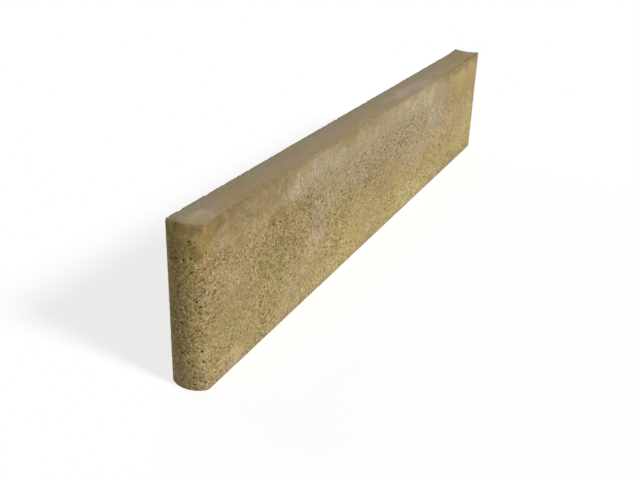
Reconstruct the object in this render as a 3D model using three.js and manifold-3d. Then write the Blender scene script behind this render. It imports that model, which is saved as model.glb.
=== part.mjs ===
// Concrete garden kerb stone, pressed in one piece from one mix. Millimetres, +X along the kerb,
// +Z up. A rounded tongue stands out of the -X end over the full height, and the +X end has the
// groove that the tongue of the next kerb sits in. The origin is the middle of the bed.
import * as THREE from "three";
import { mergeVertices } from "three/addons/utils/BufferGeometryUtils.js";
import Module from "manifold-3d";

// Driving dimensions.
const layingLength = 1000; // from one kerb to the next in a row, with the joint closed
const height = 200;
const thickness = 50;
const tongueProjection = 11; // how far the tongue stands out past its root
const rootRadius = 10; // upright corners where the tongue runs into the two side faces
const jointClearance = 1.5; // room round a tongue in its groove
const lipWidth = 3; // flat of the end face left on each side of the groove
const topArris = 4; // radius along the edges of the top face
const bedArris = 2; // radius along the edges of the bed

// Facets of the round stretches.
const tongueSteps = 24;
const rootSteps = 5;
const arrisSteps = 4;
const grooveSteps = 96; // round the whole circle that the groove is part of

// The tongue's arc runs from side face to side face and stands out by its projection.
const halfThickness = thickness / 2;
const tongueRadius = (halfThickness ** 2 + tongueProjection ** 2) / (2 * tongueProjection);

// The groove's arc has the seated tongue's centre and is wider by the clearance. The lips' width
// sets how far that centre lies outside the end face, and so how deep the tongue sits.
const grooveRadius = tongueRadius + jointClearance;
const halfMouth = halfThickness - lipWidth;
const grooveCentreOut = Math.sqrt(grooveRadius ** 2 - halfMouth ** 2);
const tongueSeat = tongueRadius - grooveCentreOut;

const totalLength = layingLength + tongueSeat;
const tongueTipX = -totalLength / 2;
const endFaceX = totalLength / 2;
const tongueCentreX = tongueTipX + tongueRadius;

const wasm = await Module();
wasm.setup();

// A closed three.js mesh becomes a solid once its doubled corner points are merged.
function solidOf(geometry) {
  geometry.deleteAttribute("normal");
  geometry.deleteAttribute("uv");
  const merged = mergeVertices(geometry, 1e-4);
  return new wasm.Manifold(new wasm.Mesh({
    numProp: 3,
    vertProperties: new Float32Array(merged.attributes.position.array),
    triVerts: new Uint32Array(merged.index.array),
  }));
}

function geometryOf(solid) {
  const mesh = solid.getMesh();
  const geometry = new THREE.BufferGeometry();
  geometry.setAttribute("position", new THREE.BufferAttribute(mesh.vertProperties, 3));
  geometry.setIndex(new THREE.BufferAttribute(mesh.triVerts, 1));
  geometry.computeVertexNormals();
  return geometry;
}

// The kerb seen from above, with a square far end. The root radius touches both the side face and
// the tongue's arc, so its centre lies that radius inside each of them.
function planOutline() {
  const rootCentreY = halfThickness - rootRadius;
  const rootCentreX = tongueCentreX - Math.sqrt((tongueRadius - rootRadius) ** 2 - rootCentreY ** 2);
  const halfArc = Math.atan2(rootCentreY, tongueCentreX - rootCentreX);
  const points = [];
  const arc = (x, y, radius, from, to, steps) => {
    const curve = new THREE.EllipseCurve(x, y, radius, radius, from, to, from > to);
    points.push(...curve.getPoints(steps));
  };
  points.push(new THREE.Vector2(endFaceX, -halfThickness), new THREE.Vector2(endFaceX, halfThickness));
  arc(rootCentreX, rootCentreY, rootRadius, Math.PI / 2, Math.PI - halfArc, rootSteps);
  points.pop();
  arc(tongueCentreX, 0, tongueRadius, Math.PI - halfArc, Math.PI + halfArc, tongueSteps);
  points.pop();
  arc(rootCentreX, -rootCentreY, rootRadius, Math.PI + halfArc, 1.5 * Math.PI, rootSteps);
  return new THREE.Shape(points);
}

// The plan pulled up from one level to another, with all edges of both ends rounded.
function roundedPrism(outline, radius, bottom, top) {
  const geometry = new THREE.ExtrudeGeometry(outline, {
    depth: top - bottom - 2 * radius,
    bevelEnabled: true,
    bevelThickness: radius,
    bevelSize: radius,
    bevelOffset: -radius,
    bevelSegments: arrisSteps,
    steps: 1,
  });
  geometry.translate(0, 0, bottom + radius);
  return solidOf(geometry);
}

// The top and the bed have different radii: each comes from a prism that reaches past the other
// end, and the kerb is what the two have in common.
function kerbBlock() {
  const plan = planOutline();
  const spare = topArris + bedArris;
  const roundedAtTop = roundedPrism(plan, topArris, -spare, height);
  const roundedAtBed = roundedPrism(plan, bedArris, 0, height + spare);
  return roundedAtTop.intersect(roundedAtBed);
}

// The groove runs the full height, so its core stands out of the kerb at the top and the bed.
function grooveCore() {
  const core = new THREE.CylinderGeometry(grooveRadius, grooveRadius, 2 * height, grooveSteps);
  core.rotateX(Math.PI / 2);
  core.translate(endFaceX + grooveCentreOut, 0, height / 2);
  return solidOf(core);
}

const concrete = new THREE.MeshStandardMaterial({ color: 0xa89a6c, roughness: 0.95, metalness: 0 });
const kerbStone = new THREE.Mesh(geometryOf(kerbBlock().subtract(grooveCore())), concrete);
kerbStone.name = "kerb_stone";

const kerb = new THREE.Group();
kerb.add(kerbStone);

export default kerb;
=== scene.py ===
import math
import random

import bpy
import numpy as np
from mathutils import Euler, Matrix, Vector, noise
from mathutils.geometry import delaunay_2d_cdt


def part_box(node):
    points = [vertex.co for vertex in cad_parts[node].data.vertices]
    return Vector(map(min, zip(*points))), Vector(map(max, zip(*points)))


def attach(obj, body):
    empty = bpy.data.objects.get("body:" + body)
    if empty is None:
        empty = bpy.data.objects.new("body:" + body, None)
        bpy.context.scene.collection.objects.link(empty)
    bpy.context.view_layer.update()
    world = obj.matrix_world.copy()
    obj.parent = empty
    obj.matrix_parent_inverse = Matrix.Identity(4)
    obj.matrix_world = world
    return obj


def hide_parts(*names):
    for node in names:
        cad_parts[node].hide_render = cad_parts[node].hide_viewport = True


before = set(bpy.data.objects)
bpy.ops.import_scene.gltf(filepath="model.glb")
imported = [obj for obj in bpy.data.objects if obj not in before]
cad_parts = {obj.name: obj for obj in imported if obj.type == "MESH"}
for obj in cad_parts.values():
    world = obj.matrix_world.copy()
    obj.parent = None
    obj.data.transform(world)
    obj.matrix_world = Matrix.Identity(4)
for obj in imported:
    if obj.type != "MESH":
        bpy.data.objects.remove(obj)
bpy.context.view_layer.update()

# The kerb stone: one casting of sand-yellow concrete, pressed earth-damp in a steel mould with its
# bed down and lifted out at once. Its pores stay open between the grains, the mould rubs a skin of
# cement milk along the top of its sides, and its arrises are soft and uneven.
MM = 0.001

low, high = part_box("kerb_stone")
tongue_tip, end_face = low.x, high.x
half_thickness, height = high.y, high.z

tongue_projection = 11 * MM
root_round = 10 * MM  # upright corners where the tongue meets the sides
joint_clearance = 1.5 * MM
lip_width = 3 * MM
lip_round = 1.5 * MM  # outer upright corner of a lip
mouth_round = 0.8 * MM  # inner upright corner, at the groove

tongue_radius = (half_thickness**2 + tongue_projection**2) / (2 * tongue_projection)
tongue_centre = tongue_tip + tongue_radius
groove_radius = tongue_radius + joint_clearance
groove_centre = end_face + math.sqrt(groove_radius**2 - (half_thickness - lip_width) ** 2)


def plan_outline():
    """The kerb seen from above, anticlockwise from the middle of the groove. Each row is a point,
    the outward direction there and the radius it bends to, and the -Y half mirrors the +Y half."""
    rows = []

    def arc(x, radius, start, end, y=0.0, hollow=False):
        steps = math.ceil(abs(end - start) * radius / (0.2 * MM))
        side = -1 if hollow else 1
        for k in range(steps + 1):
            angle = start + (end - start) * k / steps
            along, across = math.cos(angle), math.sin(angle)
            rows.append((x + radius * along, y + radius * across, side * along, side * across, radius))

    mouth_x = end_face - mouth_round
    mouth_y = math.sqrt((groove_radius + mouth_round) ** 2 - (groove_centre - mouth_x) ** 2)
    mouth_turn = math.atan2(mouth_y, groove_centre - mouth_x)
    root_y = half_thickness - root_round
    root_x = tongue_centre - math.sqrt((tongue_radius - root_round) ** 2 - root_y**2)
    root_turn = math.atan2(root_y, tongue_centre - root_x)

    arc(groove_centre, groove_radius, math.pi, math.pi - mouth_turn, hollow=True)
    arc(mouth_x, mouth_round, -mouth_turn, 0, y=mouth_y)
    arc(end_face - lip_round, lip_round, 0, math.pi / 2, y=half_thickness - lip_round)
    arc(root_x, root_round, math.pi / 2, math.pi - root_turn, y=root_y)
    arc(tongue_centre, tongue_radius, math.pi - root_turn, math.pi)
    half = np.array(rows)
    return np.vstack([half, half[-2::-1] * (1, -1, 1, -1, 1)])


outline = plan_outline()
walked = np.concatenate([[0], np.cumsum(np.hypot(*np.diff(outline[:, :2], axis=0).T))])
perimeter = walked[-1]


def on_outline(distance):
    """The outline's rows at distances walked round it."""
    return [np.interp(distance, walked, column) for column in outline.T]


def steps_round(step):
    """Distances round the outline, a step apart on the long sides and closer on tight corners."""
    places = [0.0]
    while places[-1] < perimeter / 2:
        x, y, _, _, radius = on_outline(places[-1])
        long_side = abs(y) > half_thickness - 0.01 * MM and x < end_face - 4 * MM
        places.append(places[-1] + (step if long_side else min(step, max(0.2 * radius, 0.4 * MM))))
    places = np.array(places) * (perimeter / 2 / places[-1])
    return np.concatenate([places, perimeter - places[-2::-1]])


def wander(places, size, seed=0.0):
    """Smooth noise from -1 to 1 whose swells are a given size, at many places."""
    shift = Vector((seed, 2 * seed, -seed))
    return np.array([noise.noise(Vector(p) / size + shift) for p in places])


def rise(value, start, end):
    """0 before start, 1 past end, and smooth between."""
    share = np.clip((value - start) / (end - start), 0, 1)
    return share * share * (3 - 2 * share)


# The sides and both arrises are one strip, unrolled to distance round the outline by height up the
# profile. Filled with points there and joined into triangles, it is then rolled up again.
bed_arris = 0.7 * MM
front_arris = 3.2 * MM
back_arris = 1.8 * MM
worn_arris = 4.0 * MM  # more than that on the front, behind the tongue
groove_arris = 0.6 * MM  # both edges round the groove
head_set_back = 6.2 * MM  # the press shoe is straight there, so the tongue's head falls away
head_drop = 14 * MM
bed_turn = bed_arris * math.pi / 2
wall_top = bed_turn + height - bed_arris - front_arris
strip_height = wall_top + front_arris * math.pi / 2


def edge_sizes(distance):
    """The bed arris, how far the top edge is set in and drops, and how much it is the tongue's head."""
    x, y, _, _, _ = on_outline(distance)
    # Along the edge the arris swells over 45 mm and ripples over 12 mm.
    swell = wander([(d, 0, 0) for d in distance], 45 * MM, 3.1)
    ripple = wander([(d, 0, 0) for d in distance], 12 * MM, 5.3)
    to_groove = rise(x, end_face - 9 * MM, end_face - 3 * MM)
    # The front arris is worn widest from 40 to 90 mm behind the tongue's tip.
    behind_tongue = rise(-y, 0.3 * half_thickness, half_thickness)
    behind_tongue *= rise(x, tongue_tip + 3 * MM, tongue_tip + 40 * MM)
    behind_tongue *= 1 - rise(x, tongue_tip + 90 * MM, tongue_tip + 190 * MM)
    bed = bed_arris * (1 + 0.4 * swell)
    top = back_arris + (front_arris - back_arris) * rise(-y, -half_thickness, half_thickness)
    top = top * (1 + 0.3 * swell + 0.25 * ripple) + worn_arris * behind_tongue
    bed, top = bed + (groove_arris - bed) * to_groove, top + (groove_arris - top) * to_groove
    head = (1 - rise(np.abs(y), 11 * MM, 24.9 * MM)) * (x < 0)
    set_in = top + (head_set_back * (1 + 0.12 * ripple) - top) * head
    drop = top + (head_drop * (1 + 0.2 * ripple) - top) * head
    return bed, set_in, drop, head


def roll_up(distance, level):
    """Where points of the strip lie on the stone, and the outward direction there."""
    x, y, nx, ny, _ = on_outline(distance)
    bed, set_in, drop, head = edge_sizes(distance)
    # Round the bed arris, straight up the wall, then round the top arris or up the head's slope.
    low_turn = np.clip(level / bed_turn, 0, 1) * math.pi / 2
    climb = np.clip((level - wall_top) / (strip_height - wall_top), 0, 1)
    high_turn = climb * math.pi / 2
    slope = np.arctan2(set_in, drop) * np.sign(climb)
    slope[climb == 1] = math.pi / 2
    inset = (1 - head) * (1 - np.cos(high_turn)) + head * climb
    lift = (1 - head) * np.sin(high_turn) + head * climb
    high_turn = (1 - head) * high_turn + head * slope
    share = np.clip((level - bed_turn) / (wall_top - bed_turn), 0, 1)
    inset = bed * (1 - np.sin(low_turn)) + set_in * inset
    z = bed * (1 - np.cos(low_turn)) + share * (height - bed - drop) + drop * lift
    flat = np.sin(low_turn) * np.cos(high_turn)
    up = np.sin(high_turn) - np.cos(low_turn)
    return np.stack([x - nx * inset, y - ny * inset, z], 1), np.stack([nx * flat, ny * flat, up], 1)


# Where the front differs, in listed patches: centre along the kerb and level up it, half
# length and half height in mm, and strength from 0 to 1. First where the pores gape, and where
# skin or packed fines close them.
open_patches = (
    (108, 140, 50, 28, 0.8),
    (-160, 98, 70, 24, 0.6),
    (-180, 47, 55, 32, 0.5),
    (-320, 112, 75, 52, 0.4),
    (320, 70, 130, 60, 0.35),
    (-415, 176, 45, 14, 0.5),
    (-285, 163, 24, 20, 0.5),
    (190, 132, 90, 14, 0.4),
    (-80, 120, 60, 16, 0.35),
)
closed_patches = (
    (55, 180, 60, 16, 0.7),
    (-485, 188, 24, 12, 0.9),
    (430, 165, 80, 34, 0.8),
    (395, 85, 80, 50, 0.4),
    (-95, 60, 35, 30, 0.4),
    (250, 172, 60, 20, 0.6),
    (-400, 70, 70, 40, 0.25),
)
# Where the sand shows more golden, and where cement milk lies thick.
golden_patches = (
    (-310, 152, 35, 20, 0.3),
    (430, 168, 75, 34, 0.6),
)
milky_patches = (
    (215, 172, 42, 22, 1.0),
    (245, 135, 60, 26, 1.0),
    (130, 165, 80, 30, 0.8),
    (20, 190, 18, 6, 0.9),
    (88, 193, 16, 6, 0.9),
    (-35, 186, 16, 8, 0.9),
    (-288, 174, 44, 20, 0.85),
    (-190, 182, 90, 28, 0.85),
    (-232, 192, 22, 16, 0.9),
    (-297, 42, 22, 20, 0.5),
    (-225, 105, 30, 20, 0.6),
    (-415, 95, 18, 28, 0.35),
    (150, 105, 110, 34, 0.6),
)
# Where it has dried paler, and where it is browner from finer sand or from handling.
pale_patches = (
    (165, 20, 85, 26, 0.8),
    (165, 85, 45, 34, 0.6),
    (-235, 76, 24, 18, 0.8),
    (-180, 60, 36, 18, 0.4),
    (-138, 28, 22, 12, 0.5),
    (-38, 26, 26, 14, 0.6),
    (300, 98, 80, 34, 0.5),
    (462, 75, 34, 50, 0.5),
    (140, 14, 60, 14, 1.0),
    (-230, 14, 110, 10, 0.4),
    (150, 184.5, 100, 6, 1.0),
    (-30, 188, 18, 6, 0.5),
    (-352, 181, 16, 9, 0.3),
    (-185, 118, 22, 10, 0.4),
    (-435, 14, 30, 10, 0.7),
)
brown_patches = (
    (-485, 148, 26, 26, 0.4),
    (-487, 186, 16, 14, 0.2),
    (-435, 153, 30, 20, 0.8),
    (-475, 90, 20, 14, 0.5),
    (-335, 55, 50, 26, 0.4),
    (-380, 92, 90, 14, 0.5),
    (-440, 32, 45, 12, 0.5),
    (-400, 60, 70, 50, 0.3),
    (-20, 112, 60, 26, 0.45),
    (445, 146, 60, 26, 0.5),
    (330, 145, 60, 18, 0.3),
    (-330, 118, 55, 50, 0.65),
    (-335, 155, 34, 18, 0.9),
    (-268, 140, 42, 15, 1.0),
    (-285, 90, 24, 12, 0.7),
    (30, 148, 50, 17, 0.85),
    (-110, 118, 80, 30, 0.15),
    (-135, 176, 20, 10, 0.6),
    (-150, 148, 200, 22, 0.35),
    (60, 150, 60, 18, 0.3),
    (-30, 174, 70, 18, 0.35),
    (300, 168, 60, 20, 0.4),
    (400, 4, 120, 14, 0.5),
)
# Where dirt has soaked in, and the faint green of algae near the ground.
stained_patches = (
    (-282, 137, 28, 12, 0.3),
    (-336, 151, 20, 10, 0.25),
    (-385, 84, 30, 10, 0.2),
    (-436, 90, 16, 10, 0.2),
    (-95, 196, 45, 5, 0.4),
    (-310, 195, 14, 5, 0.35),
    (-430, 191, 20, 5, 0.25),
    (350, 195, 75, 6, 0.3),
    (15, 122, 20, 10, 0.25),
    (-466, 193, 24, 9, 0.8),
)
mossy_patches = (
    (-250, 8, 26, 8, 0.5),
    (312, 10, 20, 9, 0.5),
    (400, 12, 48, 16, 0.6),
    (486, 50, 16, 90, 0.4),
    (-350, 3, 60, 6, 0.4),
)
# On the tongue the first number is across the kerb, and goes on round the corner into the front.
tongue_stains = (
    (-22, 174, 11, 11, 1.0),
    (-11.5, 184, 4, 6, 0.8),
    (-20, 16, 10, 7, 0.4),
    (-27, 199, 11, 4, 0.8),
)
tongue_pale_patches = (
    (-27, 48, 7, 22, 0.6),
    (8, 6, 10, 9, 0.5),
    # The next patch is painted light, lifting the shade in a fold where the head's slope dies out.
    (-18, 191, 6, 7, 0.3),
)
# Painted shade: a deeper ochre high on the tongue's side.
tongue_shaded_ochre_patches = ((-21, 187, 24, 17, 1.0),)
# The same on the top: centre along and across the kerb, half length and half width.
top_milky_patches = (
    (140, -8, 90, 20, 0.5),
    (210, -12, 45, 14, 0.5),
    (-60, -14, 34, 10, 0.4),
    (-462, -9, 24, 18, 0.6),
    (175, -20, 75, 9, 0.6),
    (-478, 6, 26, 20, 0.25),
)
top_brown_patches = (
    (18, 0, 26, 20, 0.2),
    (350, 6, 45, 20, 0.35),
    (435, 0, 60, 26, 0.7),
    (430, -23, 50, 8, 1.0),
    (-250, 8, 50, 12, 0.3),
    (-375, 8, 32, 12, 0.3),
    (-385, -24, 95, 12, 0.7),
    (-70, 4, 40, 14, 0.3),
)


def patches(listed, along, up):
    """How strongly the listed patches cover places, given in mm."""
    found = np.zeros_like(along)
    for centre, level, half_length, half_height, strength in listed:
        far = np.hypot((along - centre) / half_length, (up - level) / half_height)
        found = np.maximum(found, strength * (1 - rise(far, 0.35, 1.4)))
    return found


def ragged(places):
    """Places along the front and up it in mm, stirred so that patches get ragged edges."""
    x, _, z = np.asarray(places).T
    stir = 12 * wander(places, 32 * MM, 2.9) + 5 * wander(places, 11 * MM, 7.7)
    stir_up = 12 * wander(places, 30 * MM, 12.1) + 5 * wander(places, 10 * MM, 15.5)
    return x / MM + 1.6 * stir, z / MM + stir_up


def on_front(y):
    """True on the front and the tongue's near half, where the listed patches lie."""
    return y < -0.3 * half_thickness


skin_level = 160 * MM  # the skin of cement milk starts about there, higher just behind the tongue


def openness(places):
    """How open the pores are, from 0 to 1: closed by the skin near the top of the sides."""
    x, y, z = np.asarray(places).T
    along, up = ragged(places)
    skin_edge = skin_level + 16 * MM * wander(np.stack([x, y, 0 * z], 1), 90 * MM, 1.7)
    by_tongue = 1 - rise(x, tongue_tip + 12 * MM, tongue_tip + 60 * MM)
    skin_edge += (height - 16 * MM - skin_edge) * by_tongue
    found = 1 - 0.8 * rise(z, skin_edge - 16 * MM, skin_edge + 12 * MM)
    found *= 0.75 + 0.55 * wander(places, 55 * MM, 8.2)
    tongue_belly = rise(z, 30 * MM, 70 * MM) * (1 - rise(z, 155 * MM, 175 * MM))
    found += 0.35 * (x < tongue_tip + tongue_projection) * tongue_belly
    found += on_front(y) * (patches(open_patches, along, up) - patches(closed_patches, along, up))
    return np.clip(found, 0, 1)


# Blowholes are real dents. Each kind is rings of points: how far out, how many and how deep.
tiny_hole = ((0.0, 1, 1.0), (1.0, 6, 0.0))
small_hole = ((0.0, 1, 1.0), (0.6, 5, 0.85), (1.0, 7, 0.0))
large_hole = ((0.0, 1, 1.0), (0.4, 5, 0.95), (0.75, 7, 0.75), (1.0, 9, 0.15), (1.2, 9, 0.0))
small_from, large_from = 0.7 * MM, 1.2 * MM
rng = random.Random(7)


def hole_points(u, v, radius):
    """One blowhole: for each point its place, how deep it lies and how much it is in the hole."""
    turn, stretch, lump = rng.uniform(0, math.tau), rng.uniform(0, 0.3), rng.uniform(0, 0.15)
    rings = large_hole if radius > large_from else small_hole if radius > small_from else tiny_hole
    for share, count, depth in rings:
        for k in range(count):
            angle = math.tau * (k + share) / count + turn
            uneven_rim = 1 + stretch * math.cos(2 * (angle - turn)) + lump * math.sin(3 * angle)
            reach = radius * share * uneven_rim
            yield (u + reach * math.cos(angle), v + reach * math.sin(angle), depth * radius, depth)


def scatter_holes(tries, width, tall, chance, smallest, largest, placed=()):
    """Blowholes at random places, few where the chance is small, and none touching another."""
    spots = [(rng.uniform(0, width), rng.uniform(0, tall)) for _ in range(tries)]
    chances = chance(np.array(spots))
    tried = list(placed)
    for spot, likely in zip(spots, chances):
        if rng.random() < likely:
            tried.append((*spot, smallest + (largest - smallest) * rng.random() ** (7 - 3 * likely)))
    cell = 3 * largest
    taken, kept = {}, []
    for u, v, radius in tried:
        column, row = int(u / cell), int(v / cell)
        near = [h for i in (-1, 0, 1) for j in (-1, 0, 1) for h in taken.get((column + i, row + j), ())]
        if all(math.hypot(u - h[0], v - h[1]) > 1.4 * (radius + h[2]) for h in near):
            taken.setdefault((column, row), []).append((u, v, radius))
            kept.append((u, v, radius))
    return kept


def clear_of(points, holes):
    """The points that no blowhole covers."""
    keep = np.ones(len(points), bool)
    for u, v, radius in holes:
        keep &= (points[:, 0] - u) ** 2 + (points[:, 1] - v) ** 2 > (1.3 * radius + 0.9 * MM) ** 2
    return points[keep]


def side_chance(spots):
    """How likely a blowhole is at spots on the strip: none on the arrises or in the groove."""
    x, y, _, _, _ = on_outline(spots[:, 0])
    level = spots[:, 1]
    found = 0.05 + 0.95 * openness(np.stack([x, y, level], 1)) ** 1.4
    inside = (level > bed_turn + 2.5 * MM) & (level < wall_top - 2.5 * MM) & (x < end_face - 10 * MM)
    return found * inside


# Single blowholes and torn places that catch the eye: along the front, level and radius in mm. The
# last rows are short cracks of joined pores. On the tongue the first number is across the kerb.
placed_holes = [(-462, 162, 1.3), (-444, 140, 1.2), (-474, 148, 1.0), (-478, 45, 1.2), (-473, 38, 1.0)]
placed_holes += [(-402, 149, 1.2), (-389, 17, 1.2), (-368, 73, 1.3), (-366, 119, 1.2), (-359, 122, 1.2)]
placed_holes += [(-291, 137, 1.3), (-304, 43, 1.3), (-249, 111, 1.5), (-247, 58, 1.2), (-202, 18, 1.4)]
placed_holes += [(-192, 63, 1.4), (-176, 45, 2.1), (-161, 57, 1.3), (-196, 148, 1.2), (-139, 18, 1.5)]
placed_holes += [(-119, 79, 1.6), (-106, 149, 1.4), (-71, 100, 1.5), (-47, 110, 1.5), (-41, 63, 1.4)]
placed_holes += [(-31, 118, 1.4), (-17, 101, 1.9), (7, 103, 1.6), (20, 112, 1.4), (37, 117, 1.6)]
placed_holes += [(53, 55, 1.7), (58, 120, 1.6), (67, 113, 1.5), (77, 138, 1.6), (83, 75, 1.6)]
placed_holes += [(87, 150, 1.5), (100, 137, 1.7), (105, 121, 1.9), (115, 82, 1.6), (117, 157, 1.5)]
placed_holes += [(133, 130, 1.7), (140, 143, 1.5), (142, 175, 1.6), (158, 172, 1.4), (217, 100, 1.6)]
placed_holes += [(257, 53, 1.6), (387, 45, 1.9), (75, 158, 1.5), (84, 143, 1.6), (92, 162, 1.4)]
placed_holes += [(97, 150, 1.6), (103, 158, 1.5), (110, 147, 1.7), (118, 163, 1.4), (122, 148, 1.6)]
placed_holes += [(128, 155, 1.5), (138, 160, 1.5), (108, 128, 1.5), (95, 132, 1.5)]
placed_holes += [(-166 + 3.6 * k, 99 + (1.5, 0.2, -0.8, 0.4, 1.1, 0.0)[k], 1.1) for k in range(6)]
placed_holes += [(-208 + 3.3 * k, 117 + (0.9, 0.6, 0.0, -0.7, -1.1)[k], 1.0) for k in range(5)]
tongue_holes = [(-11, 195.2, 1.4), (-12.5, 191.5, 1.1), (-16.5, 190, 0.9), (-15.5, 185, 1.0), (1, 108, 1.3)]
tongue_holes += [(-14 - 2.4 * k, 122 + (0, 0.5, 1.4, 1.8)[k], 0.8) for k in range(4)]
tongue_holes += [(-21.5, 90, 1.1), (-20, 66, 1.0), (-9, 70, 0.9), (-5, 52, 1.2), (-12, 26, 1.2)]

back_start = np.flatnonzero(outline[:, 1] > half_thickness - 0.001 * MM)[0]
front_zero = perimeter - walked[back_start] - outline[back_start, 0]  # the distance at x = 0
placed = [(front_zero + along * MM, level * MM, radius * MM) for along, level, radius in placed_holes]
for across, level, radius in tongue_holes:
    distance = perimeter / 2 - tongue_radius * math.asin(across * MM / tongue_radius)
    placed.append((distance, level * MM, radius * MM))
hole_tries = 10500
smallest_hole, largest_hole = 0.42 * MM, 1.9 * MM
side_holes = scatter_holes(
    hole_tries, perimeter, strip_height, side_chance, smallest_hole, largest_hole, placed
)

wall_step = 4.6 * MM
wall_shake = 0.8 * MM
wall_columns = steps_round(wall_step)
top_columns = steps_round(2.2 * MM)
bed_columns = steps_round(3.0 * MM)
grid = []
for level in np.linspace(bed_turn, wall_top, round(height / wall_step))[1:-1]:
    shake = np.array([(rng.uniform(-1, 1), rng.uniform(-1, 1)) for _ in wall_columns]) * wall_shake
    shake[[0, -1]] = 0
    grid.append(np.stack([wall_columns, np.full_like(wall_columns, level)], 1) + shake)
strip = [(d, v, 0.0, 0.0) for d, v in clear_of(np.vstack(grid), side_holes)]
strip += [(d, level, 0.0, 0.0) for level in np.linspace(0, bed_turn, 3) for d in bed_columns]
arris_levels = wall_top + (strip_height - wall_top) * np.array([0, 0.2, 0.4, 0.6, 0.78, 0.93, 1])
strip += [(d, level, 0.0, 0.0) for level in arris_levels for d in top_columns]
for hole in side_holes:
    strip += hole_points(*hole)
strip = np.array(strip)


def triangles(points, loops=(), inside=False):
    """Joins flat points into triangles, as lists of their numbers."""
    points = [Vector(p) for p in points / MM]
    rims = [list(range(count)) for count in loops]
    _, _, found, origin, _, _ = delaunay_2d_cdt(points, [], rims, int(inside), 1e-7)
    return [[origin[i][0] for i in face] for face in found]


faces = triangles(strip[:, :2])
place, outward = roll_up(strip[:, 0], strip[:, 1])

# The strip's two ends meet in the middle of the groove.
same_place = 1e-6 * MM
last = perimeter - same_place
first_end = {round(v / MM, 3): i for i, (d, v) in enumerate(strip[:, :2]) if d < same_place}
weld = {i: first_end[round(v / MM, 3)] for i, (d, v) in enumerate(strip[:, :2]) if d > last}
faces = [[weld.get(i, i) for i in face] for face in faces]
vertices, directions = place.tolist(), outward.tolist()
dents, holes = strip[:, 2].tolist(), strip[:, 3].tolist()


def cap(level, up, step, tries, chance, largest):
    """The top or the bed: a flat face that fills the strip's edge at that level."""
    edge = [i for i, (d, v) in enumerate(strip[:, :2]) if abs(v - level) < same_place and d < last]
    edge.sort(key=lambda i: strip[i, 0])
    loop = place[edge, :2]
    span, across = end_face - tongue_tip, 2 * half_thickness

    def inside(points, margin):
        near_edge = np.array([np.min(np.hypot(*(loop - p).T)) for p in points]) < margin
        x, y = points.T
        body = (np.abs(y) < half_thickness) & (x > tongue_centre)
        body |= np.hypot(x - tongue_centre, y) < tongue_radius
        corner = (x < tongue_tip + tongue_projection) & (np.abs(y) > half_thickness - root_round / 2)
        return body & ~corner & ~near_edge & (np.hypot(x - groove_centre, y) > groove_radius)

    spots = scatter_holes(tries, span, across, lambda spots: np.full(len(spots), chance), 0.45 * MM, largest)
    spots = np.array([(tongue_tip + u, v - half_thickness, r) for u, v, r in spots])
    spots = spots[inside(spots[:, :2], 5 * MM)]
    across_steps, along_steps = round(across / step), round(span / step)
    grid = []
    for j in range(1, across_steps):
        for i in range(along_steps):
            x = tongue_tip + span * (i + 0.5 * (j % 2)) / along_steps
            grid.append((x + rng.uniform(-0.5, 0.5) * MM, across * (j / across_steps - 0.5)))
    grid = np.array(grid)
    filling = [(x, y, 0.0, 0.0) for x, y in clear_of(grid[inside(grid, 0.6 * step)], spots)]
    for spot in spots:
        filling += hole_points(*spot)
    filling = np.array(filling)
    base = len(vertices)
    for face in triangles(np.vstack([loop, filling[:, :2]]), [len(loop)], inside=True):
        face = [edge[i] if i < len(edge) else base + i - len(edge) for i in face]
        faces.append(face if up > 0 else face[::-1])
    vertices.extend((x, y, height * (up > 0)) for x, y in filling[:, :2])
    directions.extend((0.0, 0.0, up) for _ in filling)
    dents.extend(filling[:, 2])
    holes.extend(filling[:, 3])


cap(strip_height, up=1.0, step=3.4 * MM, tries=260, chance=0.5, largest=1.0 * MM)
cap(0.0, up=-1.0, step=5.0 * MM, tries=500, chance=0.6, largest=1.8 * MM)

used, faces = np.unique(np.array(faces), return_inverse=True)
faces = faces.reshape(-1, 3)
vertices = np.array(vertices)[used]
directions = np.array(directions)[used]
dents, holes = np.array(dents)[used], np.array(holes)[used]
x, y, z = vertices.T
on_side = 1 - np.abs(directions[:, 2])

# The skin lies up to a millimetre inside the mould's face: slow waves, a coarse grain where the
# pores are open, and crumbled spots along the back arris. It never stands proud.
opened = openness(vertices)
uneven = 0.18 * (0.5 + 0.5 * wander(vertices, 80 * MM)) + 0.16 * (0.5 + 0.5 * wander(vertices, 17 * MM))
uneven += (0.12 + 0.3 * opened * on_side) * (0.5 + 0.5 * wander(vertices, 5 * MM))
back_edge = rise(y, half_thickness - 5 * MM, half_thickness - 2 * MM)
back_edge *= rise(z, height - 6 * MM, height - 2 * MM)
crumbled = back_edge * rise(wander(vertices, 6 * MM, 21.4), 0.0, 0.4)
uneven += 0.9 * crumbled
uneven *= MM
uneven[z < 0.01 * MM] = 0
vertices = vertices - directions * (uneven + dents)[:, None]

# The press shoe stops short of the groove and squeezes up a low burr there, higher at the back.
burr = rise(x, end_face - 45 * MM, end_face - 4 * MM) * rise(z, height - 2.5 * MM, height - 0.5 * MM)
burr *= 0.9 + 0.9 * rise(y, -half_thickness, 0.4 * half_thickness) + 0.3 * wander(vertices, 6 * MM, 40.3)
vertices[:, 2] += burr * MM

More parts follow.
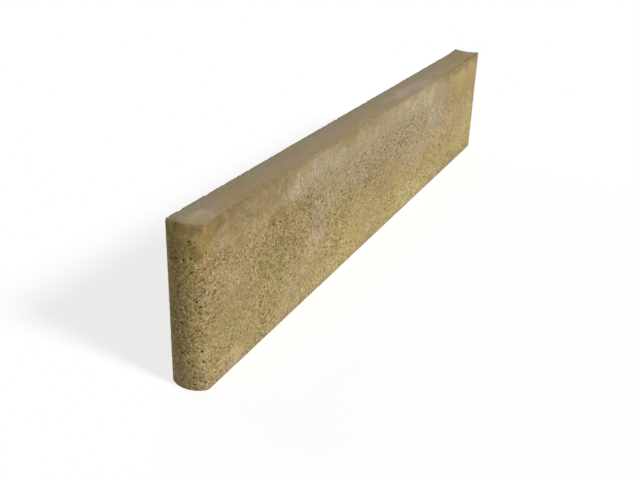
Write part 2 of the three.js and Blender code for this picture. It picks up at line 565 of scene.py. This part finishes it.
# The finish at each vertex. First where the vertex lies, in mm along the kerb, up it, across it and
# round the tongue, and from 0 to 1 how much it belongs to the top, the tongue or its head.
along, up = ragged(vertices)
across = y / MM + 5 * wander(vertices, 20 * MM, 3.3)
round_tongue = y / MM - 0.7 * (x - tongue_tip) / MM
front = on_front(y)
flat_top = rise(directions[:, 2], 0.75, 0.98) * rise(z, height - 3 * MM, height - 1.5 * MM)
below_top = 1 - flat_top
at_tongue = x < tongue_tip + tongue_projection
by_tongue = 1 - rise(x, tongue_tip + 8 * MM, tongue_tip + 60 * MM)
at_head = x < tongue_tip + 16 * MM
from_head = tongue_radius - head_set_back - np.hypot(x - tongue_centre, y)
by_head = (1 - rise(from_head, 1 * MM, 8 * MM)) * (1 - rise(np.abs(y), 16 * MM, 22 * MM)) * at_head

# The sand is golden near the bed and browner or paler in patches. The tongue's side, turned
# away from the lamp, gets a deeper ochre: painted shade.
golden = 0.9 * (1 - rise(up, 20, 105)) * rise(up, -14, 18) * (1 - 0.6 * (1 - rise(along, -300, -200)))
golden += 0.35 * wander(vertices, 60 * MM, 9.1) + front * patches(golden_patches, along, up)
shaded_ochre = 0.3 + 0.15 * (1 - rise(up, 70, 110)) + 0.25 * wander(vertices, 30 * MM, 44.2)
shaded_ochre += 0.7 * patches(tongue_shaded_ochre_patches, round_tongue, up) + 0.5 * rise(up, 120, 160)
shaded_ochre *= by_tongue * below_top
streak = 0.28 * wander(vertices * (0.2, 1, 1), 9 * MM, 11.9)
brown_side = front * patches(brown_patches, along, up) + 0.25 * wander(vertices, 45 * MM, 31.3)
brown_top = patches(top_brown_patches, along, across) - streak
brown = brown_side * below_top + brown_top * flat_top
pale = front * patches(pale_patches, along, up) + by_tongue * patches(tongue_pale_patches, round_tongue, up)

# Cement milk lies in a band along the top of the sides, and thinly on the top and at the bed.
milk_front = 0.6 * rise(up, 90, 135) * rise(along, -300, -215) * (1 - rise(along, 270, 350))
milk_front = np.maximum(milk_front, patches(milky_patches, along, up))
milk_back = (0.45 * rise(up, 120, 165) + 0.3 * wander(vertices, 70 * MM, 4.4)) * (1 - by_tongue)
milk = np.where(front, milk_front, milk_back)
milk += 0.08 * wander(vertices, 26 * MM, 5.2) + 0.3 * (1 - rise(up, 4, 18))
milk_top = patches(top_milky_patches, along, across) * (1 - 0.9 * by_head) + streak
milk = milk * below_top + milk_top * flat_top

# A browner rim runs below the top, deep behind the tongue and broken up where the milk lies, and
# the front arris is darkened with dirt and with painted shade, so that where it turns up to the
# lamp it reads no brighter than the front.
rim_depth = np.interp(along, (-500, -340, -290, 500), (34, 30, 16, 16))
rim_places = (-500, -330, -250, -190, -110, -50, 20, 210, 290, 500)
rim_strengths = (1.0, 1.0, 0.15, 0.4, 0.85, 0.7, 0.2, 0.25, 0.9, 1.0)
rim = rise(up + rim_depth, height / MM - 4, height / MM + 7) * np.interp(along, rim_places, rim_strengths)
rim[y > 0] = 0.4 * rise(z[y > 0], height - 14 * MM, height - 5 * MM)
rim *= below_top
tongue_side = (1 - rise(x, tongue_tip + 10 * MM, tongue_tip + 60 * MM)) * (1 - rise(y, -8 * MM, 8 * MM))
rim *= 1 - 0.8 * tongue_side
# Dirt and painted shade on the front arris, so that it reads no brighter where it faces the lamp.
arris_dark_places = (-500, -470, -340, -260, -110, 20, 210, 330, 500)
arris_dark_strengths = (0.5, 0.9, 1, 0.5, 0.8, 0.5, 0.7, 0.9, 1)
arris_dirt_and_shade = np.interp(along, arris_dark_places, arris_dark_strengths)
arris_dirt_and_shade *= rise(directions[:, 2], 0.03, 0.3) * (1 - rise(directions[:, 2], 0.93, 1.0)) * front
rim = np.maximum(rim, arris_dirt_and_shade * (1 + 0.3 * wander(vertices, 14 * MM, 50.1)))

# The top is struck smooth by the press shoe to within a few mm of its edges, and dust lies on it.
struck_edge = 1.5 * MM + 3 * MM * (0.5 + 0.5 * wander(vertices, 25 * MM, 6.6))
blend = 3 * MM + 11 * MM * (1 - rise(along, -400, -290)) * front
struck = flat_top * rise(half_thickness - np.abs(y), struck_edge - 1.5 * MM, struck_edge + blend)
struck = np.where(y > 0, rise(directions[:, 2], 0.2, 0.7), struck)
dust_and_shade_grey = flat_top * rise(y + 5 * MM * wander(vertices, 22 * MM, 17.8), -4 * MM, 14 * MM)
# On the tongue's back half the grey is painted shade: the cool grey of the side turned from the lamp.
dust_and_shade_grey = np.maximum(dust_and_shade_grey, 0.5 * rise(y, 0, 20 * MM) * at_tongue)

# Dark marks: on the tongue stains and a dark toothed line just below its head, a darker band on
# the top along the head, dirt and painted shade along the front arris, dirt along the back arris,
# and stains in patches.
stained_tongue = 0.5 * rise(z, 146 * MM, 172 * MM) * rise(y, -14 * MM, -6 * MM)
stained_tongue = np.maximum(stained_tongue, patches(tongue_stains, round_tongue, up))
teeth = 0.5 + 0.8 * wander(vertices * (1, 1, 0.15), 3.5 * MM, 33.7)
stained_tongue = np.maximum(stained_tongue, teeth * rise(z, height - 6 * MM, height - 2 * MM))
stained_tongue *= at_tongue * below_top * (1 + 0.35 * wander(vertices, 12 * MM, 27.2))
stained_side = front * patches(stained_patches, along, up) * below_top
# The front arris darkened with dirt and painted shade.
arris_stain_and_shade = arris_dirt_and_shade * np.interp(along, (-460, -400, 200, 400), (0.5, 0.3, 0.3, 0.75))
# The top is darker along the tongue's head, in a band with a toothed edge.
head_edge = (1 - rise(from_head, 3 * MM, 5.5 * MM)) * (1 - rise(np.abs(y), 21 * MM, 24 * MM)) * at_head
head_dark_band = np.maximum(0.3 * by_head, head_edge * np.clip(0.2 + teeth, 0, 1)) * flat_top
dirty_back = rise(y, half_thickness - 5 * MM, half_thickness - 1 * MM) * rise(z, height - 6 * MM, height)
stained_back = dirty_back * (0.3 + 0.3 * wander(vertices, 9 * MM, 35.2)) + 0.5 * crumbled
stains_and_shade = [stained_tongue, stained_side, arris_stain_and_shade, head_dark_band, stained_back]

# Each part of the finish from 0 to 1, under the name that the material reads.
finish = {
    "hole": holes,
    "opened": opened,
    "golden": golden,
    "brown": brown,
    "milk": milk,
    "rim": rim,
    "struck": struck,
    "dust_and_shade_grey": dust_and_shade_grey,
    "stains_and_shade": np.maximum.reduce(stains_and_shade),
    "shaded_ochre": shaded_ochre,
    "pale": pale,
    "grey_end": rise(along, -180, 60),
    "mossy": front * patches(mossy_patches, along, up),
}

mesh = bpy.data.meshes.new("kerb_stone_cast")
mesh.from_pydata(vertices.tolist(), [], faces.tolist())
mesh.polygons.foreach_set("use_smooth", [True] * len(mesh.polygons))
for name, values in finish.items():
    values = np.clip(values, 0, 1).astype(np.float32)
    mesh.attributes.new(name, "FLOAT", "POINT").data.foreach_set("value", values)
mesh.validate()
kerb = bpy.data.objects.new("kerb_stone_cast", mesh)
bpy.context.scene.collection.objects.link(kerb)


def linear(code):
    """An sRGB hex colour as linear red, green, blue and alpha."""
    parts = [int(code[i : i + 2], 16) / 255 for i in (1, 3, 5)]
    return [c / 12.92 if c <= 0.04045 else ((c + 0.055) / 1.055) ** 2.4 for c in parts] + [1.0]


def add(tree, kind, inputs=None, output=0, **settings):
    """Adds a node and gives one of its outputs. An input that is a socket is linked to."""
    node = tree.nodes.new("ShaderNode" + kind)
    for name, value in settings.items():
        setattr(node, name, value)
    for name, value in (inputs or {}).items():
        if isinstance(value, bpy.types.NodeSocket):
            tree.links.new(value, node.inputs[name])
        else:
            node.inputs[name].default_value = value
    return node.outputs[output] if node.outputs else None


def pressed_concrete():
    """Concrete pressed earth-damp, of yellow sand and grey cement: dead matt and grainy, pitted
    with dark pores, with a greyer skin where cement milk was rubbed over it."""
    material = bpy.data.materials.new("pressed_concrete")
    material.use_nodes = True
    tree = material.node_tree
    tree.nodes.clear()
    # Patterns are laid in millimetres, so a scale is one over a real size.
    place = add(tree, "TexCoord", output="Object")
    mm = add(tree, "VectorMath", {0: place, "Scale": 1 / MM}, operation="SCALE")
    at = {name: add(tree, "Attribute", output="Fac", attribute_name=name) for name in finish}
    smooth = {"interpolation_type": "SMOOTHSTEP"}
    rgba = {"data_type": "RGBA"}

    # Clouds in the mix about 50 mm across, and mottles about 12 mm across that break up each patch.
    cloud = add(tree, "TexNoise", {"Vector": mm, "Scale": 1 / 50, "Detail": 3})
    cloud = add(tree, "MapRange", {"Value": cloud, 1: 0.35, 2: 0.65}, **smooth)
    mottle = add(tree, "TexNoise", {"Vector": mm, "Scale": 1 / 12, "Detail": 4})
    mottle = add(tree, "MapRange", {"Value": mottle, 1: 0.32, 2: 0.6, 3: 0.55, 4: 1.0}, **smooth)
    colour = add(tree, "Mix", {0: cloud, 6: linear("#a59160"), 7: linear("#b29b70")}, 2, **rgba)
    # The ochre on the tongue is painted shade.
    for name, code in (("golden", "#bca86a"), ("shaded_ochre", "#a68d4b")):
        share = add(tree, "Math", {0: at[name], 1: mottle}, operation="MULTIPLY")
        colour = add(tree, "Mix", {0: share, 6: colour, 7: linear(code)}, 2, **rgba)
    top = add(tree, "Mix", {0: at["grey_end"], 6: linear("#9e8b6c"), 7: linear("#9d8b76")}, 2, **rgba)
    # Dust greys it, and on the tongue's back half the same grey is painted shade.
    top = add(tree, "Mix", {0: at["dust_and_shade_grey"], 6: top, 7: linear("#91866d")}, 2, **rgba)
    colour = add(tree, "Mix", {0: at["struck"], 6: colour, 7: top}, 2, **rgba)
    for name, code in (("brown", "#937a4a"), ("pale", "#d2bd91")):
        share = add(tree, "Math", {0: at[name], 1: mottle}, operation="MULTIPLY")
        colour = add(tree, "Mix", {0: share, 6: colour, 7: linear(code)}, 2, **rgba)

    # The sand's own tint drifts between pinkish and yellow over about 60 mm, and algae add green.
    drift = add(tree, "TexNoise", {"Vector": mm, "Scale": 1 / 60, "Detail": 2})
    drift = add(tree, "MapRange", {"Value": drift, 1: 0.35, 2: 0.65}, **smooth)
    tint = add(tree, "Mix", {0: drift, 6: linear("#fff9ff"), 7: linear("#fbffed")}, 2, **rgba)
    for share, tint in ((1.0, tint), (at["mossy"], linear("#edfaea"))):
        colour = add(tree, "Mix", {0: share, 6: colour, 7: tint}, 2, blend_type="MULTIPLY", **rgba)

    # Cement milk, a dull grey film that turns whitish where it is thick. It is drawn into upright
    # streaks 3.5 mm wide and 50 mm long as the mould comes off.
    drawn = add(tree, "VectorMath", {0: mm, 1: (1 / 3.5, 1 / 3.5, 1 / 50)}, operation="MULTIPLY")
    streaks = add(tree, "TexNoise", {"Vector": drawn, "Scale": 1, "Detail": 2})
    streaks = add(tree, "MapRange", {"Value": streaks, 1: 0.32, 2: 0.68, 3: 0.27, 4: 0.83}, **smooth)
    streaks = add(tree, "Math", {0: streaks, 1: at["struck"]}, operation="MAXIMUM")
    thick = add(tree, "Math", {0: at["milk"], 1: streaks}, operation="MULTIPLY")
    milk = add(tree, "Mix", {0: thick, 6: linear("#8c8166"), 7: linear("#cfc1a9")}, 2, **rgba)
    film = add(tree, "Math", {0: at["milk"], 1: 0.85}, operation="MULTIPLY")
    colour = add(tree, "Mix", {0: film, 6: colour, 7: milk}, 2, **rgba)

    # The browner rim below the top, and dark stains; both carry the painted shade on the front arris.
    for name, code in (("rim", "#8f7b54"), ("stains_and_shade", "#6e582a")):
        share = add(tree, "Math", {0: at[name], 1: mottle}, operation="MULTIPLY")
        colour = add(tree, "Mix", {0: share, 6: colour, 7: linear(code)}, 2, **rgba)

    # Sand: grit 2.8 mm across with a few dark and pale stones, and finer grains, drawn 1.5 mm across
    # though most real ones are finer. The dark ones are browner than the paste, the pale ones greyer.
    grit = add(tree, "TexVoronoi", {"Vector": mm, "Scale": 1 / 2.8}, "Color")
    grit = add(tree, "SeparateColor", {0: grit})
    dark_stones = add(tree, "MapRange", {"Value": grit, 1: 0.0, 2: 0.3, 3: -1.0, 4: 0.0}, **smooth)
    pale_stones = add(tree, "MapRange", {"Value": grit, 1: 0.8, 2: 1.0, 3: 0.0, 4: 0.8}, **smooth)
    stones = add(tree, "Math", {0: dark_stones, 1: pale_stones}, operation="ADD")
    grains = add(tree, "TexVoronoi", {"Vector": mm, "Scale": 1 / 1.5}, "Color")
    grains = add(tree, "SeparateColor", {0: grains})
    grains = add(tree, "MapRange", {"Value": grains, 3: -1.0, 4: 1.0})
    grain = add(tree, "Math", {0: stones, 1: grains}, operation="ADD")

    # The grain is bare where the pores are open, and smeared over on the struck top, the rim, stains
    # and the painted shade on the front arris.
    bare = add(tree, "Math", {0: at["opened"], 1: 0.6, 2: 0.4}, operation="MULTIPLY_ADD")
    cover = add(tree, "Math", {0: at["struck"], 1: -0.6, 2: 1.0}, operation="MULTIPLY_ADD")
    bare = add(tree, "Math", {0: bare, 1: cover}, operation="MULTIPLY")
    smeared = add(tree, "Math", {0: at["rim"], 1: -0.55, 2: 1.0}, operation="MULTIPLY_ADD")
    smeared = add(tree, "Math", {0: at["stains_and_shade"], 1: -0.45, 2: smeared}, operation="MULTIPLY_ADD")
    bare = add(tree, "Math", {0: bare, 1: smeared}, operation="MULTIPLY")
    grain = add(tree, "Math", {0: grain, 1: bare}, operation="MULTIPLY")
    dark = add(tree, "MapRange", {"Value": grain, 1: 0.0, 2: -1.6, 3: 0.0, 4: 0.95})
    colour = add(tree, "Mix", {0: dark, 6: colour, 7: linear("#6e5422")}, 2, **rgba)
    pale = add(tree, "MapRange", {"Value": grain, 1: 0.0, 2: 1.6, 3: 0.0, 4: 0.8})
    colour = add(tree, "Mix", {0: pale, 6: colour, 7: linear("#d8c79c")}, 2, **rgba)

    # Pores where the grains leave gaps, about 0.8 and 1.4 mm across, more of them in open skin.
    gap = add(tree, "TexVoronoi", {"Vector": mm, "Scale": 1 / 2.2}, "Distance")
    wide_gap = add(tree, "TexVoronoi", {"Vector": mm, "Scale": 1 / 3.6}, "Distance")
    gap = add(tree, "Math", {0: gap, 1: wide_gap}, operation="MAXIMUM")
    bar = add(tree, "Math", {0: at["opened"], 1: -0.16, 2: 0.98}, operation="MULTIPLY_ADD")
    gap = add(tree, "Math", {0: gap, 1: bar}, operation="SUBTRACT")
    pore = add(tree, "MapRange", {"Value": gap, 1: 0.0, 2: 0.08, 3: 0.0, 4: 0.85}, **smooth)
    pore = add(tree, "Math", {0: pore, 1: cover}, operation="MULTIPLY")
    pore = add(tree, "Math", {0: pore, 1: at["hole"]}, operation="MAXIMUM")
    colour = add(tree, "Mix", {0: pore, 6: colour, 7: linear("#5a4216")}, 2, **rgba)

    # Grains stand up to 0.3 mm proud of the paste, and pores sink about 0.6 mm into it.
    relief = add(tree, "Math", {0: grain, 1: 0.25}, operation="MULTIPLY")
    relief = add(tree, "Math", {0: relief, 1: pore}, operation="SUBTRACT")
    bump = add(tree, "Bump", {"Height": relief, "Distance": 0.7 * MM, "Strength": 0.8})
    stone = add(tree, "BsdfPrincipled", {"Base Color": colour, "Roughness": 0.95, "Normal": bump})
    add(tree, "OutputMaterial", {"Surface": stone})
    return material


kerb.data.materials.append(pressed_concrete())
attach(kerb, "root")
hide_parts("kerb_stone")

# The floor: plain, pale and level, painted dead matt. The camera sees it glow to white where no
# shadow falls. It isn't part of the kerb.
floor_half = 40.0  # metres
floor_glow = 0.74  # with the light that falls on it, that reads white


def seen_directly(tree):
    """1 on what the camera sees, straight or by way of gloss or glass, and 0 on what lights it."""
    camera_ray = add(tree, "LightPath", output="Is Camera Ray")
    rays = camera_ray.node.outputs
    seen = add(tree, "Math", {0: camera_ray, 1: rays["Is Glossy Ray"]}, operation="MAXIMUM")
    return add(tree, "Math", {0: seen, 1: rays["Is Transmission Ray"]}, operation="MAXIMUM")


def matt_pale_paint():
    """Matt pale paint, rolled on plain and even, so that only the kerb's shadow shows on it."""
    material = bpy.data.materials.new("matt_pale_paint")
    material.use_nodes = True
    tree = material.node_tree
    tree.nodes.clear()
    seen = seen_directly(tree)
    glow = add(tree, "Math", {0: seen, 1: floor_glow}, operation="MULTIPLY")
    pale = add(tree, "Mix", {0: seen, 6: linear("#d4d4d4"), 7: linear("#a0a0a0")}, 2, data_type="RGBA")
    paint = add(tree, "BsdfDiffuse", {"Color": pale})
    light = add(tree, "Emission", {"Strength": glow})
    both = add(tree, "AddShader", {0: paint, 1: light})
    add(tree, "OutputMaterial", {"Surface": both})
    return material


floor_mesh = bpy.data.meshes.new("floor")
floor_corners = [(i * floor_half, j * floor_half, 0) for i, j in ((-1, -1), (1, -1), (1, 1), (-1, 1))]
floor_mesh.from_pydata(floor_corners, [], [(0, 1, 2, 3)])
floor = bpy.data.objects.new("floor", floor_mesh)
floor.data.materials.append(matt_pale_paint())
bpy.context.scene.collection.objects.link(floor)

# The light: one broad lamp on the kerb's front, a weak and wide fill from behind so that the back
# can be read, and an even pale room. A white surface that faces a lamp reads at its level.
lamps = (
    ("softbox", (-0.08, -0.81, 0.58), 0.85, 12),
    ("fill", (0.55, 0.8, 0.25), 0.3, 70),
)
for name, comes_from, level, width in lamps:
    light = bpy.data.lights.new(name, "SUN")
    light.energy = level * math.pi
    light.angle = math.radians(width)
    lamp = bpy.data.objects.new(name, light)
    lamp.rotation_euler = Vector(comes_from).to_track_quat("Z", "Y").to_euler()
    bpy.context.scene.collection.objects.link(lamp)

room_level = 0.16
world = bpy.data.worlds.new("room")
world.use_nodes = True
room = world.node_tree
room.nodes.clear()
level = add(room, "MapRange", {"Value": seen_directly(room), 3: room_level, 4: 1.0})
sky = add(room, "Background", {"Color": linear("#ffffff"), "Strength": level})
add(room, "OutputWorld", {"Surface": sky})
bpy.context.scene.world = world

# The camera: half a metre up and a short step from the tongue, looking along the front, with a
# normal lens shifted a little to frame the whole kerb.
image_width = 640
lens = bpy.data.cameras.new("camera")
lens.sensor_width = 36.0
lens.lens = 45.3
lens.shift_y = -30 / image_width
camera = bpy.data.objects.new("camera", lens)
camera.location = (-1.1142, -0.4542, 0.5445)
camera.rotation_euler = Euler([math.radians(a) for a in (66.748, -1.743, -63.594)])
bpy.context.scene.collection.objects.link(camera)
bpy.context.scene.camera = camera
bpy.context.scene.view_settings.view_transform = "Standard"
